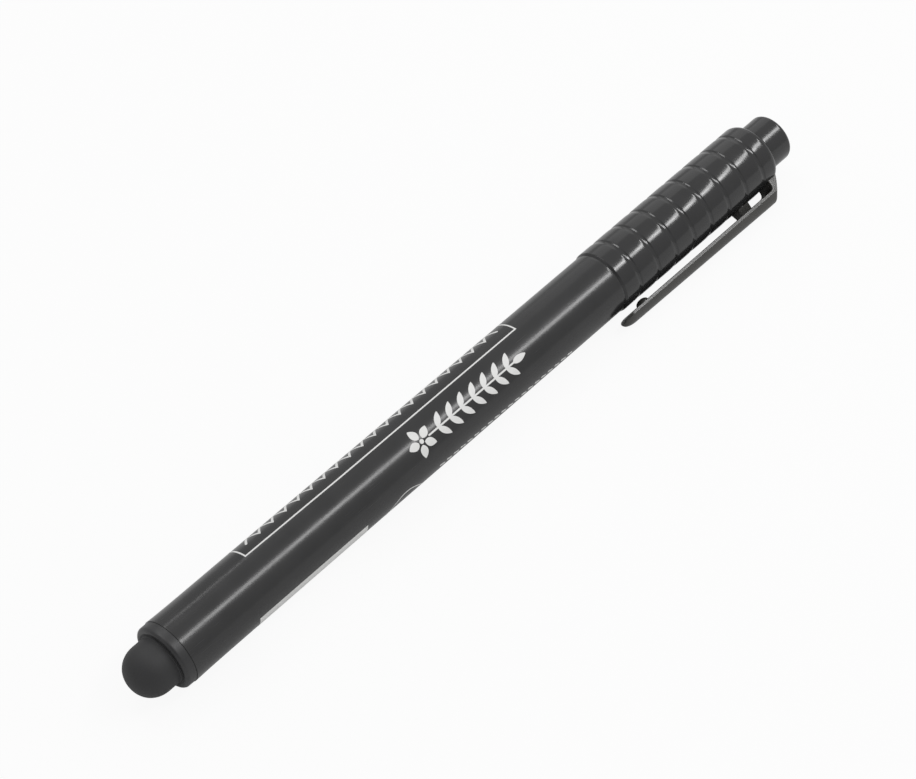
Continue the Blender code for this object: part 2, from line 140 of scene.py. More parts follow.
class Graph:
    """Node tree of one material or world, built from expressions."""

    def __init__(self, owner: bpy.types.Material | bpy.types.World) -> None:
        """Start from an empty tree."""
        owner.use_nodes = True
        self.tree = owner.node_tree
        self.tree.nodes.clear()

    def node(self, kind: str, settings: dict | None = None, sockets: dict | None = None) -> bpy.types.Node:
        """Add a node, set it up and feed its sockets.

        Args:
            kind: Blender's name for the type of node.
            settings: The node's properties, set first.
            sockets: Values or fields by the name or number of the input.

        Returns:
            The new node.
        """
        made = self.tree.nodes.new(kind)
        for key, value in (settings or {}).items():
            setattr(made, key, value)
        for key, value in (sockets or {}).items():
            if isinstance(value, Field):
                self.tree.links.new(value.socket, made.inputs[key])
            else:
                made.inputs[key].default_value = value
        return made

    def read(
        self, kind: str, output: str | int, settings: dict | None = None, sockets: dict | None = None
    ) -> Field:
        """Add a node and give one of its outputs as a field."""
        return Field(self, self.node(kind, settings, sockets).outputs[output])

    def math(
        self, operation: str, first: "Field | float", second: "Field | float", clamp: bool = False
    ) -> Field:
        """Add one step of arithmetic and give its result."""
        settings = {"operation": operation, "use_clamp": clamp}
        return self.read("ShaderNodeMath", 0, settings, {0: first, 1: second})

    def noise(self, vector: Field, scale: float, detail: float = 2.0, roughness: float = 0.5) -> Field:
        """Cloudy value between 0 and 1, with this many waves per metre."""
        sockets = {"Vector": vector, "Scale": scale, "Detail": detail, "Roughness": roughness}
        return self.read("ShaderNodeTexNoise", 0, None, sockets)

    def streaks(
        self, vector: Field, along: float, around: float, turn: float = 0.0, **layers: float
    ) -> Field:
        """Cloudy value drawn out one way.

        Args:
            vector: Place on the piece.
            along: Waves per metre along the marker.
            around: Waves per metre around it.
            turn: Degrees that the streaks lean from the marker's length.
            layers: Detail and roughness of the noise.

        Returns:
            The value, between 0 and 1.
        """
        rotation = (0.0, 0.0, math.radians(turn))
        sockets = {"Vector": vector, "Scale": (along, around, around), "Rotation": rotation}
        drawn = self.read("ShaderNodeMapping", 0, {"vector_type": "POINT"}, sockets)
        return self.noise(drawn, 1.0, **layers)

    def blend(self, low: "Field | Colour", high: "Field | Colour", share: Field) -> Field:
        """Mix of two colours, each a field or plain red, green and blue."""
        first = low if isinstance(low, Field) else (*low, 1.0)
        second = high if isinstance(high, Field) else (*high, 1.0)
        return self.read("ShaderNodeMix", 2, {"data_type": "RGBA"}, {0: share, 6: first, 7: second})

    def bump(self, height: Field, depth: float) -> Field:
        """Surface normal over a height between 0 and 1, as deep as depth in millimetres."""
        sockets = {"Height": height, "Distance": depth * MM, "Strength": 1.0}
        return self.read("ShaderNodeBump", 0, None, sockets)

    def surface(self, colour: Field, rough: Field, normal: Field, others: dict | None = None) -> None:
        """End the tree in a Principled shader with these fields and other sockets."""
        sockets = {"Base Color": colour, "Roughness": rough, "Normal": normal, **(others or {})}
        shader = self.read("ShaderNodeBsdfPrincipled", 0, None, sockets)
        self.node("ShaderNodeOutputMaterial", None, {"Surface": shader})


# Finishes


def tinted(colour: Colour, factor: float) -> Colour:
    """A colour made lighter or darker by a factor."""
    return tuple(min(1.0, channel * factor) for channel in colour)


@dataclass(frozen=True)
class Finish:
    """What every finish has.

    Attributes:
        name: Name of the material.
        colour: Linear red, green and blue.
        roughness: Middle value of the roughness.
    """

    name: str
    colour: Colour
    roughness: float

    def material(self) -> bpy.types.Material:
        """Make the material, or find it if it is there already."""
        made = bpy.data.materials.get(self.name)
        if made is None:
            made = bpy.data.materials.new(self.name)
            graph = Graph(made)
            self.paint(graph, graph.read("ShaderNodeTexCoord", "Object"))
        return made

    def paint(self, graph: Graph, place: Field) -> None:
        """Fill the material's tree.

        Args:
            graph: The tree, still empty but for the place.
            place: Place on the piece in its own space, in metres.
        """
        raise NotImplementedError

    def shades(self, graph: Graph, low: float, high: float, share: Field) -> Field:
        """The colour between a darker and a lighter tint of it."""
        return graph.blend(tinted(self.colour, low), tinted(self.colour, high), share)


@dataclass(frozen=True)
class MouldedPlastic(Finish):
    """Black moulded plastic with flow clouds, a faint peel, draw lines and handling marks.

    Attributes:
        peel: Depth of the mould's faint waviness, in millimetres.
        peel_scale: Waves per metre of that waviness.
        grain: Depth of the fine grain, in millimetres.
        lines: Depth of the draw lines, in millimetres.
        marks: How strongly hairline marks show.
    """

    peel: float = 0.002
    peel_scale: float = 900.0
    grain: float = 0.0003
    lines: float = 0.0003
    marks: float = 0.5

    def paint(self, graph: Graph, place: Field) -> None:
        """Fill the material's tree."""
        cloud = graph.noise(place, scale=240.0, detail=3.0)
        peel = graph.noise(place, scale=self.peel_scale, detail=0.5)
        draw = graph.streaks(place, along=45.0, around=2400.0, detail=3.0)
        grain = graph.noise(place, scale=6500.0, roughness=0.7)
        hairs = graph.streaks(place, along=170.0, around=8200.0, turn=7.0)
        worn = graph.noise(place, scale=90.0)
        marks = hairs.above(0.66, 0.72) * worn.above(0.42, 0.62) * self.marks
        tone = self.shades(graph, 0.8, 1.22, cloud)
        colour = graph.blend(tone, tinted(self.colour, 2.6), marks * 0.35)
        rough = self.roughness + (cloud - 0.5) * 0.08 + (draw - 0.5) * 0.05 + marks * 0.18
        depth = self.peel + self.grain + self.lines
        height = (peel * self.peel + grain * self.grain + draw * self.lines) * (1.0 / depth)
        graph.surface(colour, rough, graph.bump(height, depth), {"IOR": 1.5})


@dataclass(frozen=True)
class SoftRubber(Finish):
    """Matte rubber with a fine sanded skin and a little dust."""

    def paint(self, graph: Graph, place: Field) -> None:
        """Fill the material's tree."""
        cloud = graph.noise(place, scale=320.0, detail=3.0)
        skin = graph.noise(place, scale=5200.0, detail=3.0, roughness=0.65)
        dust = graph.noise(place, scale=8800.0, detail=1.0).above(0.68, 0.78) * cloud.above(0.4, 0.7)
        tone = self.shades(graph, 0.82, 1.2, cloud)
        colour = graph.blend(tone, tinted(self.colour, 3.2), dust * 0.4)
        rough = self.roughness + (cloud - 0.5) * 0.12 + (skin - 0.5) * 0.1
        graph.surface(colour, rough, graph.bump(skin, depth=0.004), {"IOR": 1.45})


@dataclass(frozen=True)
class PressedFibre(Finish):
    """Fibre rod: strands that run lengthwise, stained by ink.

    Attributes:
        stain: Colour of the ink in the strands.
        soaked: Share of the fibre that the ink has reached.
    """

    stain: Colour = (0.012, 0.012, 0.014)
    soaked: float = 0.5

    def paint(self, graph: Graph, place: Field) -> None:
        """Fill the material's tree."""
        strands = graph.streaks(place, along=380.0, around=9000.0, detail=3.0, roughness=0.6)
        clumps = graph.streaks(place, along=120.0, around=1800.0)
        ink = (clumps + (self.soaked - 0.5)).above(0.4, 0.6)
        dry = self.shades(graph, 0.7, 1.15, strands)
        wet = graph.blend(self.stain, tinted(self.stain, 2.4), strands)
        rough = self.roughness - ink * 0.15 + (strands - 0.5) * 0.2
        normal = graph.bump(strands * 0.7 + clumps * 0.3, depth=0.03)
        graph.surface(graph.blend(dry, wet, ink), rough, normal)


@dataclass(frozen=True)
class NaturalPolymer(Finish):
    """Undyed, milky plastic of the inner cap and of the film round the ink core.

    Attributes:
        glow: Weight of the light scattered under the skin.
        glow_reach: How far that light spreads, in millimetres.
        clear: Weight of the light let through.
    """

    glow: float = 0.25
    glow_reach: float = 0.6
    clear: float = 0.0

    def paint(self, graph: Graph, place: Field) -> None:
        """Fill the material's tree."""
        cloud = graph.noise(place, scale=380.0, detail=3.0)
        rings = graph.streaks(place, along=2600.0, around=90.0)
        colour = self.shades(graph, 0.9, 1.06, cloud)
        rough = self.roughness + (cloud - 0.5) * 0.14 + (rings - 0.5) * 0.1
        normal = graph.bump(cloud * 0.6 + rings * 0.4, depth=0.004)
        inside = {"Subsurface Weight": self.glow, "Subsurface Scale": self.glow_reach * MM}
        graph.surface(colour, rough, normal, inside | {"Transmission Weight": self.clear})


@dataclass(frozen=True)
class PrintInk(Finish):
    """Opaque screen ink with a mottled film and a few thin spots."""

    def paint(self, graph: Graph, place: Field) -> None:
        """Fill the material's tree."""
        mottle = graph.noise(place, scale=1500.0, detail=3.0, roughness=0.6)
        pores = graph.noise(place, scale=7200.0, detail=1.0).above(0.7, 0.82)
        film = self.shades(graph, 0.9, 1.05, mottle)
        colour = graph.blend(film, tinted(self.colour, 0.45), pores * 0.6)
        rough = self.roughness + (mottle - 0.5) * 0.2
        graph.surface(colour, rough, graph.bump(mottle - pores * 0.5, depth=0.004))


BARREL_BLACK = MouldedPlastic("barrel_gloss_black", (0.02, 0.02, 0.0205), 0.22)
CAP_BLACK = MouldedPlastic("cap_gloss_black", (0.02, 0.02, 0.0205), 0.15, peel=0.01, peel_scale=400.0)
COLLAR_BLACK = MouldedPlastic("collar_satin_black", (0.022, 0.022, 0.023), 0.4, peel=0.002, grain=0.0012)
CLIP_GREY = MouldedPlastic("clip_satin_grey", (0.034, 0.033, 0.03), 0.24, grain=0.0035, marks=0.8)
HOLDER_BLACK = MouldedPlastic("holder_satin_black", (0.016, 0.016, 0.017), 0.32)
DOME_RUBBER = SoftRubber("dome_matte_rubber", (0.026, 0.026, 0.027), 0.62)
NIB_FELT = PressedFibre("nib_inked_felt", (0.03, 0.03, 0.032), 0.85, soaked=0.85)
CORE_FIBRE = PressedFibre("core_white_fibre", (0.62, 0.62, 0.6), 0.9, soaked=0.42)
CORE_FILM = NaturalPolymer("core_clear_film", (0.78, 0.8, 0.82), 0.2, glow=0.0, clear=0.7)
LINER_WHITE = NaturalPolymer("liner_milky_white", (0.66, 0.66, 0.63), 0.42)
WHITE_INK = PrintInk("print_white_ink", (0.66, 0.66, 0.65), 0.5)


# Shapes


def between(start: Point, end: Point, share: float) -> Point:
    """Point at a share of the way from start to end."""
    return start[0] + (end[0] - start[0]) * share, start[1] + (end[1] - start[1]) * share


def quarter(steps: int) -> list[float]:
    """Angles of a quarter turn in even steps, both ends included."""
    return [math.radians(90 * step / steps) for step in range(steps + 1)]


def fillet(corner: Vector, before: Vector, after: Vector, rounding: float) -> list[Point]:
    """Arc that rounds a corner.

    Args:
        corner: The corner itself.
        before: From the corner to the one before it.
        after: From the corner to the one after it.
        rounding: Radius of the arc, cut down where the sides are short.

    Returns:
        Points of the arc, with both ends.
    """
    first, second = before.normalized(), after.normalized()
    half = first.angle(second) / 2
    run = min(rounding / math.tan(half), SIDE_SHARE * before.length, SIDE_SHARE * after.length)
    centre = corner + (first + second).normalized() * (run / math.cos(half))
    start, end = corner + first * run - centre, corner + second * run - centre
    turn = math.atan2(start.cross(end), start.dot(end))
    steps = max(2, math.ceil(abs(turn) / math.radians(ARC_STEP)))
    arms = [Matrix.Rotation(turn * step / steps, 2) @ start for step in range(steps + 1)]
    return [(centre.x + arm.x, centre.y + arm.y) for arm in arms]


def rounded(corners: Sequence[Triple], closed: bool) -> list[Point]:
    """Outline with each corner rounded.

    Args:
        corners: First and second coordinate of each corner, and its rounding.
        closed: Whether the last corner runs back to the first.

    Returns:
        Points along the outline.
    """
    points: list[Point] = []
    count = len(corners)
    for index, (first, second, rounding) in enumerate(corners):
        corner = Vector((first, second))
        if rounding <= 0.0 or not (closed or 0 < index < count - 1):
            points.append((first, second))
            continue
        before = Vector(corners[index - 1][:2]) - corner
        after = Vector(corners[(index + 1) % count][:2]) - corner
        points.extend(fillet(corner, before, after, rounding))
    return points


def supported(points: Sequence[Point], closed: bool, edge: float = 0.1, run: float = 2.5) -> list[Point]:
    """Outline with points added along its straight runs, so that shading stays even.

    Args:
        points: Points along the outline.
        closed: Whether the last point runs back to the first.
        edge: Distance of the added points from the ends of a run.
        run: Longest step between added points.

    Returns:
        The points with those added.
    """
    result: list[Point] = []
    count = len(points)
    for index, start in enumerate(points):
        result.append(start)
        if index == count - 1 and not closed:
            break
        end = points[(index + 1) % count]
        length = math.dist(start, end)
        if length < 4 * edge:
            continue
        steps = math.ceil((length - 2 * edge) / run)
        for step in range(steps + 1):
            result.append(between(start, end, (edge + (length - 2 * edge) * step / steps) / length))
    return result


def skin(shape: Shape, first: Sequence, second: Sequence) -> None:
    """Add faces between two rings of vertices.

    Args:
        shape: Shape that the vertices are in.
        first: One ring, or a single vertex.
        second: The other.
    """
    count = max(len(first), len(second))
    for index in range(count):
        after = (index + 1) % count
        corners = [first[index % len(first)], first[after % len(first)]]
        corners += [second[after % len(second)], second[index % len(second)]]
        shape.faces.new(list(dict.fromkeys(corners)))


def sheath(shape: Shape, rings: Sequence[Sequence], closed: bool) -> None:
    """Add faces between neighbouring rings of vertices.

    Args:
        shape: Shape that the rings are in.
        rings: The rings in order.
        closed: Whether the last ring runs back to the first.
    """
    for first, second in zip(rings, rings[1:]):
        skin(shape, first, second)
    if closed:
        skin(shape, rings[-1], rings[0])


def shade(mesh: bpy.types.Mesh, sharp: float = SHARP_TURN) -> None:
    """Smooth shading, but for edges that turn more than this many degrees."""
    mesh.shade_smooth()
    mesh.set_sharp_from_angle(angle=math.radians(sharp))


def as_object(name: str, shape: Shape, sharp: float = SHARP_TURN) -> Piece:
    """Put a finished shape into the scene.

    Args:
        name: Name of the piece.
        shape: The shape, which is freed.
        sharp: Edges that turn more than this stay sharp, in degrees.

    Returns:
        The new object, smooth shaded.
    """
    bmesh.ops.recalc_face_normals(shape, faces=shape.faces)
    mesh = bpy.data.meshes.new(name)
    shape.to_mesh(mesh)
    shape.free()
    shade(mesh, sharp)
    obj = bpy.data.objects.new(name, mesh)
    bpy.context.scene.collection.objects.link(obj)
    return obj


@dataclass(frozen=True)
class Span:
    """Stations of the two ends of a turned node, and its outer radius."""

    rear: float
    front: float
    radius: float


@dataclass(frozen=True)
class PenAxis:
    """The marker's own axis in the frame, in metres.

    Attributes:
        across: Place of the axis across the table.
        height: Height of the axis over the table.
        mouth: Place of the cap's mouth along the table.
        flats: Steps round a turned piece.
    """

    across: float
    height: float
    mouth: float
    flats: int = 192

    @classmethod
    def from_frame(cls) -> "PenAxis":
        """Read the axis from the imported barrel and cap."""
        low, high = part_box("barrel")
        return cls((low.y + high.y) / 2, (low.z + high.z) / 2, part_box("cap_shell")[0].x)

    def point(self, station: float, radius: float, angle: float) -> Vector:
        """Point at a station, radius and angle round the marker."""
        side, rise = radius * math.sin(angle), radius * math.cos(angle)
        return Vector((self.mouth + station * MM, self.across - side * MM, self.height + rise * MM))

    @cache
    def span(self, node: str) -> Span:
        """Ends and radius of a turned node of the frame."""
        low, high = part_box(node)
        return Span((low.x - self.mouth) / MM, (high.x - self.mouth) / MM, (high.z - low.z) / MM / 2)

    def turned(self, name: str, outline: Sequence[Point]) -> Piece:
        """Turn an outline about the axis.

        Args:
            name: Name of the piece.
            outline: Stations and radii. It runs from axis to axis, or else back to its start.

        Returns:
            The new piece.
        """
        closed = outline[0][1] > ON_AXIS
        shape = bmesh.new()
        rings = []
        for station, radius in supported(outline, closed):
            count = self.flats if radius > ON_AXIS else 1
            turns = [2 * math.pi * step / count for step in range(count)]
            rings.append([shape.verts.new(self.point(station, radius, turn)) for turn in turns])
        sheath(shape, rings, closed)
        return as_object(name, shape)

    def lathed(self, name: str, corners: Sequence[Triple]) -> Piece:
        """Turn an outline of rounded corners about the axis."""
        return self.turned(name, rounded(corners, closed=corners[0][1] > ON_AXIS))


# Sub-assemblies


@dataclass
class SubAssembly:
    """What every sub-assembly has: the axis that it is built on."""

    axis: PenAxis

    def fit(self, piece: Piece, node: str, slot: str, finish: Finish) -> Piece:
        """Let a piece stand for a node of the frame.

        Args:
            piece: The piece, in its place.
            node: Node that it stands for and whose body it rides on.
            slot: Slot of the record that its finish belongs to; not used.
            finish: What it is dressed in.

        Returns:
            The same piece.
        """
        piece.data.materials.append(finish.material())
        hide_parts(node)
        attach(piece, frame["nodes"][node]["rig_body"])
        return piece


@dataclass
class Barrel(SubAssembly):
    """The long tube, its end plug and the rubber dome behind it."""

    wall: float = 1.35
    edge: float = 0.1
    bevel_run: float = 0.4
    bevel_drop: float = 0.04
    bevel_edge: float = 0.05
    bevel_round: float = 0.5
    seam: float = 0.002
    seam_edge: float = 0.035
    proud: float = 0.035
    draft: float = 0.06
    flare: float = 0.09
    flare_length: float = 2.4
    skin_steps: Sequence[float] = (0.3, 0.6, 1.0, 1.5, 2.2, 3.0, 4.0, 5.2, 7.0, 9.5, 14.0, 40.0, 70.0, 88.0)
    spigot_radius: float = 3.6
    collar_rear: float = -93.82
    collar_radius: float = 5.32
    collar_round: float = 0.8
    socket_radius: float = 4.1
    socket_floor: float = -93.05
    stem_radius: float = 2.2
    stem_end: float = -96.95
    stem_clearance: float = 0.3
    dome_radius: float = 4.05
    dome_base: float = -93.3
    dome_fullness: float = 2.15
    lip: float = 0.42
    lip_thickness: float = 0.06
    lip_edge: float = 0.02
    lip_root: float = 0.39

    def build(self) -> Iterable[Piece]:
        """Make and dress the three pieces."""
        yield self.fit(self.tube(), "barrel", "barrel_plastic", BARREL_BLACK)
        yield self.fit(self.plug(), "end_plug", "collar_plastic", COLLAR_BLACK)
        yield self.fit(self.dome(), "rubber_dome", "rubber", DOME_RUBBER)

    def skin(self, station: float) -> float:
        """Outer radius of the tube: a slight draft, and a flare at the rear."""
        span = self.axis.span("barrel")
        share = (span.front - station) / (span.front - span.rear)
        flare = self.flare * math.exp((span.rear - station) / self.flare_length)
        return span.radius + self.proud + self.draft * share + flare

    def tube(self) -> Piece:
        """Tube with rounded edges, which closes up to the cap."""
        span = self.axis.span("barrel")
        bore = span.radius - self.wall
        front = -self.seam
        stations = [span.rear + step for step in reversed(self.skin_steps)]
        skin_line = [(station, self.skin(station), 0.0) for station in stations]
        corners = [
            (front, bore, self.edge),
            (front, self.skin(front) - self.bevel_drop, self.bevel_edge),
            (front - self.bevel_run, self.skin(front - self.bevel_run), self.bevel_round),
            *skin_line,
            (span.rear, self.skin(span.rear), self.seam_edge),
            (span.rear, bore, self.edge),
        ]
        return self.axis.lathed("barrel_tube", corners)

    def plug(self) -> Piece:
        """Spigot in the barrel, collar behind it and the stem that the dome sits on."""
        span = self.axis.span("end_plug")
        seam = self.axis.span("barrel").rear - self.seam
        corners = [
            (span.front, 0.0, 0.0),
            (span.front, self.spigot_radius, 0.3),
            (seam, self.spigot_radius, 0.05),
            (seam, self.collar_radius, self.seam_edge),
            (self.collar_rear, self.collar_radius, self.collar_round),
            (self.collar_rear, self.socket_radius, 0.04),
            (self.socket_floor, self.socket_radius, 0.1),
            (self.socket_floor, self.stem_radius, 0.1),
            (self.stem_end, self.stem_radius, 0.3),
            (self.stem_end, 0.0, 0.0),
        ]
        return self.axis.lathed("rear_collar", corners)

    def dome(self) -> Piece:
        """Full round dome with a blind bore and a small lip that closes on the collar."""
        tip = self.axis.span("rubber_dome").rear
        bore = self.stem_radius + self.stem_clearance
        bore_end = self.stem_end - self.stem_clearance
        centre = tip + self.dome_radius
        lip_face = self.collar_rear - self.seam
        corners = [
            (bore_end, 0.0, 0.0),
            (bore_end, bore, 0.3),
            (self.dome_base, bore, 0.1),
            (self.dome_base, self.dome_radius, 0.1),
            (lip_face, self.dome_radius, 0.0),
            (lip_face, self.dome_radius + self.lip, self.lip_edge),
            (lip_face - self.lip_thickness, self.dome_radius + self.lip, self.lip_edge),
            (lip_face - self.lip_thickness, self.dome_radius, self.lip_root),
            (centre, self.dome_radius, 0.0),
        ]
        power = 2.0 / self.dome_fullness
        arc = [
            (centre - self.dome_radius * math.sin(a) ** power, self.dome_radius * abs(math.cos(a)) ** power)
            for a in quarter(steps=40)[1:]
        ]
        return self.axis.turned("rubber_tip", rounded(corners, closed=False) + arc)


@dataclass
class WritingEnd(SubAssembly):
    """Nib holder, nib, ink core and the film round the core."""

    spigot_radius: float = 3.6
    section_radius: float = 4.3
    nose_radius: float = 2.9
    nose_root: float = 9.5
    nose_taper: float = 15.0
    nose_tip_radius: float = 2.2
    nib_radius: float = 1.3
    nib_bore: float = 1.6
    nib_point: float = 2.2
    nib_bluntness: float = 0.9
    core_bore_end: float = -15.6
    film_wall: float = 0.25

    def build(self) -> Iterable[Piece]:
        """Make and dress the four pieces."""
        yield self.fit(self.holder(), "nib_holder", "holder_plastic", HOLDER_BLACK)
        yield self.fit(self.nib(), "nib", "felt", NIB_FELT)
        yield self.fit(self.core(), "ink_reservoir", "fibre", CORE_FIBRE)
        yield self.fit(self.film(), "reservoir_film", "film", CORE_FILM)

    def holder(self) -> Piece:
        """Spigot in the barrel, section under the cap and a tapered nose."""
        span = self.axis.span("nib_holder")
        corners = [
            (span.front, self.nose_tip_radius, 0.25),
            (self.nose_taper, self.nose_radius, 0.8),
            (self.nose_root, self.nose_radius, 0.4),
            (self.nose_root, self.section_radius, 0.6),
            (0.0, self.section_radius, 0.15),
            (0.0, self.spigot_radius, 0.1),
            (span.rear, self.spigot_radius, 0.3),
            (span.rear, self.nib_bore, 0.2),
            (span.front, self.nib_bore, 0.15),
        ]
        return self.axis.lathed("nib_section", corners)

    def nib(self) -> Piece:
        """Fibre rod with a bullet point."""
        span = self.axis.span("nib")
        shoulder = span.front - self.nib_point
        point = [
            (shoulder + self.nib_point * math.cos(a), self.nib_radius * math.sin(a) ** self.nib_bluntness)
            for a in quarter(steps=20)
        ]
        corners = [
            (*point[-1], 0.0),
            (span.rear, self.nib_radius, 0.3),
            (span.rear, 0.0, 0.0),
        ]
        return self.axis.turned("fibre_nib", point + rounded(corners, closed=False)[1:])

    def core(self) -> Piece:
        """Ink core with a blind bore for the nib's tail."""
        span = self.axis.span("ink_reservoir")
        corners = [
            (self.core_bore_end, 0.0, 0.0),
            (self.core_bore_end, self.nib_bore, 0.1),
            (span.front, self.nib_bore, 0.15),
            (span.front, span.radius, 0.25),
            (span.rear, span.radius, 0.25),
            (span.rear, 0.0, 0.0),
        ]
        return self.axis.lathed("ink_core", corners)

    def film(self) -> Piece:
        """Thin open sleeve as long as the core."""
        span = self.axis.span("reservoir_film")
        bore = span.radius - self.film_wall
        corners = [
            (span.front, span.radius, 0.08),
            (span.rear, span.radius, 0.08),
            (span.rear, bore, 0.08),
            (span.front, bore, 0.08),
        ]
        return self.axis.lathed("core_film", corners)


@dataclass
class Cap(SubAssembly):
    """Ribbed shell, the plug in its crown and the inner cap."""

    bore: float = 4.6
    mouth_radius: float = 5.2
    mouth_run: float = 0.32
    rim: float = 0.3
    skin_start: float = 0.5
    skin_steps: int = 70
    ceiling: float = 33.3
    crown_hole: float = 2.8
    crown: float = 37.15
    shoulder_round: float = 1.9
    shoulder: float = 34.6
    first_groove: float = 3.63
    groove_pitch: float = 4.262
    groove_count: int = 8
    groove_floor: float = 0.15
    groove_rear: float = 0.23
    groove_front: float = 0.26
    groove_reach: float = 0.8
    groove_steps: int = 16
    groove_depth: float = 0.078
    band_crown: float = 0.035
    plug_stem: float = 2.5
    plug_stem_end: float = 29.0
    plug_radius: float = 4.06
    plug_round: float = 0.7
    plug_foot_round: float = 0.4
    plug_gap: float = 0.02
    liner_bore: float = 3.2
    liner_ceiling: float = 27.5

    def build(self) -> Iterable[Piece]:
        """Make and dress the three pieces."""
        yield self.fit(self.shell(), "cap_shell", "cap_plastic", CAP_BLACK)
        yield self.fit(self.plug(), "cap_plug", "cap_plastic", CAP_BLACK)
        yield self.fit(self.liner(), "inner_cap", "liner_plastic", LINER_WHITE)

    def drop(self, station: float) -> float:
        """How far the ribbed skin lies under its full radius at a station."""
        index = round((station - self.first_groove) / self.groove_pitch)
        index = min(max(index, 0), self.groove_count - 1)
        off = station - self.first_groove - index * self.groove_pitch
        crown = self.band_crown * max(0.0, 1.0 - 2.0 * abs(off) / self.groove_pitch) ** 2
        rise = max(0.0, abs(off) - self.groove_floor)
        if off < 0.0:
            return crown + self.groove_depth * math.exp(-((rise / self.groove_rear) ** 2) / 2)
        return crown + self.groove_depth * max(0.0, 1.0 - rise / self.groove_front)

    def ribbed(self, radius: float) -> list[Point]:
        """Outer skin from the mouth to the shoulder.

        Args:
            radius: Full radius of the bands.

        Returns:
            Stations and radii, closer together in the grooves.
        """
        run = self.shoulder - self.skin_start
        stations = {self.skin_start + step * run / self.skin_steps for step in range(self.skin_steps + 1)}
        half = self.groove_steps
        offsets = [self.groove_reach * (step / half - 1) for step in range(2 * half + 1)]
        for index in range(self.groove_count):
            middle = self.first_groove + index * self.groove_pitch
            stations |= {middle + offset for offset in offsets}
        return [(station, radius - self.drop(station)) for station in sorted(stations)]

    def shell(self) -> Piece:
        """Ribbed cap with a rounded shoulder, a bore and a hole in the crown."""
        radius = self.axis.span("cap_shell").radius
        skin_points = self.ribbed(radius)
        first, last = skin_points[0], skin_points[-1]
        mouth = [
            (self.rim, self.bore, 0.0),
            (0.0, self.bore, 0.1),
            (0.0, self.mouth_radius, 0.04),
            (self.mouth_run, first[1], 0.12),
            (*first, 0.0),
        ]
        crown = [
            (*last, 0.0),
            (self.crown, last[1], self.shoulder_round),
            (self.crown, self.crown_hole, 0.08),
            (self.ceiling, self.crown_hole, 0.08),
            (self.ceiling, self.bore, 0.3),
            (self.rim, self.bore, 0.0),
        ]
        ends = [rounded(corners, closed=False) for corners in (mouth, crown)]
        return self.axis.turned("cap_ribbed_shell", ends[0] + skin_points[1:] + ends[1][1:-1])

    def plug(self) -> Piece:
        """Plain round-edged head on the crown, on a stem that reaches the inner cap."""
        span = self.axis.span("cap_plug")
        crown = self.crown + self.plug_gap
        corners = [
            (span.front, 0.0, 0.0),
            (span.front, self.plug_radius, self.plug_round),
            (crown, self.plug_radius, self.plug_foot_round),
            (crown, self.plug_stem, 0.1),
            (self.plug_stem_end, self.plug_stem, 0.2),
            (self.plug_stem_end, 0.0, 0.0),
        ]
        return self.axis.lathed("cap_end_plug", corners)

    def liner(self) -> Piece:
        """Thimble that closes round the nib holder's nose."""
        span = self.axis.span("inner_cap")
        corners = [
            (span.front, 0.0, 0.0),
            (span.front, span.radius, 0.4),
            (span.rear, span.radius, 0.2),
            (span.rear, self.liner_bore, 0.35),
            (self.liner_ceiling, self.liner_bore, 0.5),
            (self.liner_ceiling, 0.0, 0.0),
        ]
        return self.axis.lathed("cap_inner_liner", corners)


@dataclass(frozen=True)
class ClipSection:
    """One section across the clip.

    Attributes:
        inner: Station and radius of its inner side.
        edge: Station and radius of the top of its straight side walls.
        crown: Station and radius of the middle of its outer side.
        half: Half of its width.
    """

    inner: Point
    edge: Point
    crown: Point
    half: float


